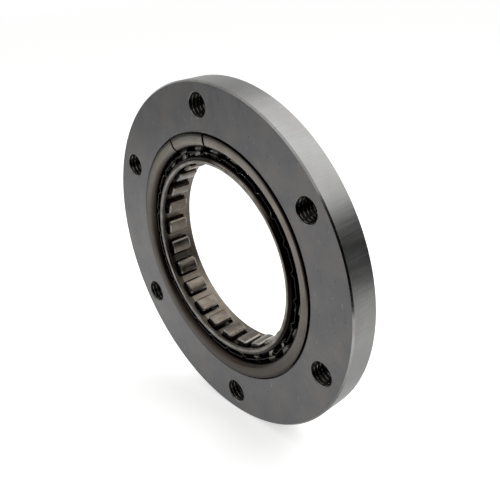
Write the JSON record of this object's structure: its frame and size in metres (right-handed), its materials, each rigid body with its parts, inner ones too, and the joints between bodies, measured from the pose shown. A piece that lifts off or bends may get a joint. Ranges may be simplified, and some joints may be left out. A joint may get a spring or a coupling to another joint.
{
  "type": "starter clutch",
  "caption": "One-way starter clutch: flat ring with a circle of tapped holes, and in its bore sprags between two windowed cages with a corrugated ribbon spring.",
  "frame": {"origin": "centre of the bolt circle in the ring face on the flange side", "axes": "+Y along the clutch axis, away from the rotor face; +Z from the centre to the first tapped hole"},
  "size_m": [0.107, 0.012, 0.107],
  "materials": {
    "ground_steel": "ground and turned, lightly oiled",
    "cage_steel": "satin, warm grey",
    "strip_steel": "satin, taupe",
    "spring_steel": "dark, oiled",
    "sprag_steel": "hardened, polished, oiled"
  },
  "bodies": {
    "clutch_body": {"outer_race": "ground_steel"},
    "outer_cage": {"outer_cage": "cage_steel"},
    "inner_cage": {"inner_cage": "strip_steel"},
    "ribbon": {"ribbon_spring": "spring_steel"},
    "sprag_01": {"sprag_01": "sprag_steel"},
    "sprag_02": {"sprag_02": "sprag_steel"},
    "sprag_03": {"sprag_03": "sprag_steel"},
    "sprag_04": {"sprag_04": "sprag_steel"},
    "sprag_05": {"sprag_05": "sprag_steel"},
    "sprag_06": {"sprag_06": "sprag_steel"},
    "sprag_07": {"sprag_07": "sprag_steel"},
    "sprag_08": {"sprag_08": "sprag_steel"},
    "sprag_09": {"sprag_09": "sprag_steel"},
    "sprag_10": {"sprag_10": "sprag_steel"},
    "sprag_11": {"sprag_11": "sprag_steel"},
    "sprag_12": {"sprag_12": "sprag_steel"},
    "sprag_13": {"sprag_13": "sprag_steel"},
    "sprag_14": {"sprag_14": "sprag_steel"},
    "sprag_15": {"sprag_15": "sprag_steel"},
    "sprag_16": {"sprag_16": "sprag_steel"},
    "sprag_17": {"sprag_17": "sprag_steel"},
    "sprag_18": {"sprag_18": "sprag_steel"},
    "sprag_19": {"sprag_19": "sprag_steel"},
    "sprag_20": {"sprag_20": "sprag_steel"},
    "sprag_21": {"sprag_21": "sprag_steel"},
    "sprag_22": {"sprag_22": "sprag_steel"},
    "sprag_23": {"sprag_23": "sprag_steel"},
    "sprag_24": {"sprag_24": "sprag_steel"},
    "sprag_25": {"sprag_25": "sprag_steel"}
  },
  "joints": [
    {"name": "cage_turn", "type": "hinge", "parent": "clutch_body", "child": "outer_cage", "pos_m": [0, 0.0006, 0], "axis": [0, 1, 0], "continuous": true},
    {"name": "inner_cage_turn", "type": "hinge", "parent": "outer_cage", "child": "inner_cage", "pos_m": [0, 0.00555, 0], "axis": [0, -1, 0], "range_deg": [0, 1.3], "stiffness_Nm_per_rad": 0.8, "springref_deg": -1.72},
    {"name": "ribbon_turn", "type": "hinge", "parent": "outer_cage", "child": "ribbon", "pos_m": [0, 0.00555, 0], "axis": [0, -1, 0], "range_deg": [0, 0.484]},
    {"name": "sprag_01_rock", "type": "hinge", "parent": "outer_cage", "child": "sprag_01", "pos_m": [0.0032, 0.00555, 0.0339], "axis": [0, 1, 0], "range_deg": [0, 12.05]},
    {"name": "sprag_02_rock", "type": "hinge", "parent": "outer_cage", "child": "sprag_02", "pos_m": [0.01153, 0.00555, 0.03204], "axis": [0, 1, 0], "range_deg": [0, 12.05]},
    {"name": "sprag_03_rock", "type": "hinge", "parent": "outer_cage", "child": "sprag_03", "pos_m": [0.01914, 0.00555, 0.02816], "axis": [0, 1, 0], "range_deg": [0, 12.05]},
    {"name": "sprag_04_rock", "type": "hinge", "parent": "outer_cage", "child": "sprag_04", "pos_m": [0.02554, 0.00555, 0.02252], "axis": [0, 1, 0], "range_deg": [0, 12.05]},
    {"name": "sprag_05_rock", "type": "hinge", "parent": "outer_cage", "child": "sprag_05", "pos_m": [0.03034, 0.00555, 0.01546], "axis": [0, 1, 0], "range_deg": [0, 12.05]},
    {"name": "sprag_06_rock", "type": "hinge", "parent": "outer_cage", "child": "sprag_06", "pos_m": [0.03323, 0.00555, 0.00743], "axis": [0, 1, 0], "range_deg": [0, 12.05]},
    {"name": "sprag_07_rock", "type": "hinge", "parent": "outer_cage", "child": "sprag_07", "pos_m": [0.03403, 0.00555, -0.00107], "axis": [0, 1, 0], "range_deg": [0, 12.05]},
    {"name": "sprag_08_rock", "type": "hinge", "parent": "outer_cage", "child": "sprag_08", "pos_m": [0.0327, 0.00555, -0.0095], "axis": [0, 1, 0], "range_deg": [0, 12.05]},
    {"name": "sprag_09_rock", "type": "hinge", "parent": "outer_cage", "child": "sprag_09", "pos_m": [0.02931, 0.00555, -0.01733], "axis": [0, 1, 0], "range_deg": [0, 12.05]},
    {"name": "sprag_10_rock", "type": "hinge", "parent": "outer_cage", "child": "sprag_10", "pos_m": [0.02408, 0.00555, -0.02408], "axis": [0, 1, 0], "range_deg": [0, 12.05]},
    {"name": "sprag_11_rock", "type": "hinge", "parent": "outer_cage", "child": "sprag_11", "pos_m": [0.01733, 0.00555, -0.02931], "axis": [0, 1, 0], "range_deg": [0, 12.05]},
    {"name": "sprag_12_rock", "type": "hinge", "parent": "outer_cage", "child": "sprag_12", "pos_m": [0.0095, 0.00555, -0.0327], "axis": [0, 1, 0], "range_deg": [0, 12.05]},
    {"name": "sprag_13_rock", "type": "hinge", "parent": "outer_cage", "child": "sprag_13", "pos_m": [0.00107, 0.00555, -0.03403], "axis": [0, 1, 0], "range_deg": [0, 12.05]},
    {"name": "sprag_14_rock", "type": "hinge", "parent": "outer_cage", "child": "sprag_14", "pos_m": [-0.00743, 0.00555, -0.03323], "axis": [0, 1, 0], "range_deg": [0, 12.05]},
    {"name": "sprag_15_rock", "type": "hinge", "parent": "outer_cage", "child": "sprag_15", "pos_m": [-0.01546, 0.00555, -0.03034], "axis": [0, 1, 0], "range_deg": [0, 12.05]},
    {"name": "sprag_16_rock", "type": "hinge", "parent": "outer_cage", "child": "sprag_16", "pos_m": [-0.02252, 0.00555, -0.02554], "axis": [0, 1, 0], "range_deg": [0, 12.05]},
    {"name": "sprag_17_rock", "type": "hinge", "parent": "outer_cage", "child": "sprag_17", "pos_m": [-0.02816, 0.00555, -0.01914], "axis": [0, 1, 0], "range_deg": [0, 12.05]},
    {"name": "sprag_18_rock", "type": "hinge", "parent": "outer_cage", "child": "sprag_18", "pos_m": [-0.03204, 0.00555, -0.01153], "axis": [0, 1, 0], "range_deg": [0, 12.05]},
    {"name": "sprag_19_rock", "type": "hinge", "parent": "outer_cage", "child": "sprag_19", "pos_m": [-0.0339, 0.00555, -0.0032], "axis": [0, 1, 0], "range_deg": [0, 12.05]},
    {"name": "sprag_20_rock", "type": "hinge", "parent": "outer_cage", "child": "sprag_20", "pos_m": [-0.03363, 0.00555, 0.00533], "axis": [0, 1, 0], "range_deg": [0, 12.05]},
    {"name": "sprag_21_rock", "type": "hinge", "parent": "outer_cage", "child": "sprag_21", "pos_m": [-0.03125, 0.00555, 0.01352], "axis": [0, 1, 0], "range_deg": [0, 12.05]},
    {"name": "sprag_22_rock", "type": "hinge", "parent": "outer_cage", "child": "sprag_22", "pos_m": [-0.0269, 0.00555, 0.02087], "axis": [0, 1, 0], "range_deg": [0, 12.05]},
    {"name": "sprag_23_rock", "type": "hinge", "parent": "outer_cage", "child": "sprag_23", "pos_m": [-0.02087, 0.00555, 0.0269], "axis": [0, 1, 0], "range_deg": [0, 12.05]},
    {"name": "sprag_24_rock", "type": "hinge", "parent": "outer_cage", "child": "sprag_24", "pos_m": [-0.01352, 0.00555, 0.03125], "axis": [0, 1, 0], "range_deg": [0, 12.05]},
    {"name": "sprag_25_rock", "type": "hinge", "parent": "outer_cage", "child": "sprag_25", "pos_m": [-0.00533, 0.00555, 0.03363], "axis": [0, 1, 0], "range_deg": [0, 12.05]}
  ],
  "couplings": [
    {"joint": "ribbon_turn", "follows": "inner_cage_turn", "ratio": 0.365},
    {"joint": "sprag_01_rock", "follows": "inner_cage_turn", "ratio": 9.25},
    {"joint": "sprag_02_rock", "follows": "inner_cage_turn", "ratio": 9.25},
    {"joint": "sprag_03_rock", "follows": "inner_cage_turn", "ratio": 9.25},
    {"joint": "sprag_04_rock", "follows": "inner_cage_turn", "ratio": 9.25},
    {"joint": "sprag_05_rock", "follows": "inner_cage_turn", "ratio": 9.25},
    {"joint": "sprag_06_rock", "follows": "inner_cage_turn", "ratio": 9.25},
    {"joint": "sprag_07_rock", "follows": "inner_cage_turn", "ratio": 9.25},
    {"joint": "sprag_08_rock", "follows": "inner_cage_turn", "ratio": 9.25},
    {"joint": "sprag_09_rock", "follows": "inner_cage_turn", "ratio": 9.25},
    {"joint": "sprag_10_rock", "follows": "inner_cage_turn", "ratio": 9.25},
    {"joint": "sprag_11_rock", "follows": "inner_cage_turn", "ratio": 9.25},
    {"joint": "sprag_12_rock", "follows": "inner_cage_turn", "ratio": 9.25},
    {"joint": "sprag_13_rock", "follows": "inner_cage_turn", "ratio": 9.25},
    {"joint": "sprag_14_rock", "follows": "inner_cage_turn", "ratio": 9.25},
    {"joint": "sprag_15_rock", "follows": "inner_cage_turn", "ratio": 9.25},
    {"joint": "sprag_16_rock", "follows": "inner_cage_turn", "ratio": 9.25},
    {"joint": "sprag_17_rock", "follows": "inner_cage_turn", "ratio": 9.25},
    {"joint": "sprag_18_rock", "follows": "inner_cage_turn", "ratio": 9.25},
    {"joint": "sprag_19_rock", "follows": "inner_cage_turn", "ratio": 9.25},
    {"joint": "sprag_20_rock", "follows": "inner_cage_turn", "ratio": 9.25},
    {"joint": "sprag_21_rock", "follows": "inner_cage_turn", "ratio": 9.25},
    {"joint": "sprag_22_rock", "follows": "inner_cage_turn", "ratio": 9.25},
    {"joint": "sprag_23_rock", "follows": "inner_cage_turn", "ratio": 9.25},
    {"joint": "sprag_24_rock", "follows": "inner_cage_turn", "ratio": 9.25},
    {"joint": "sprag_25_rock", "follows": "inner_cage_turn", "ratio": 9.25}
  ]
}
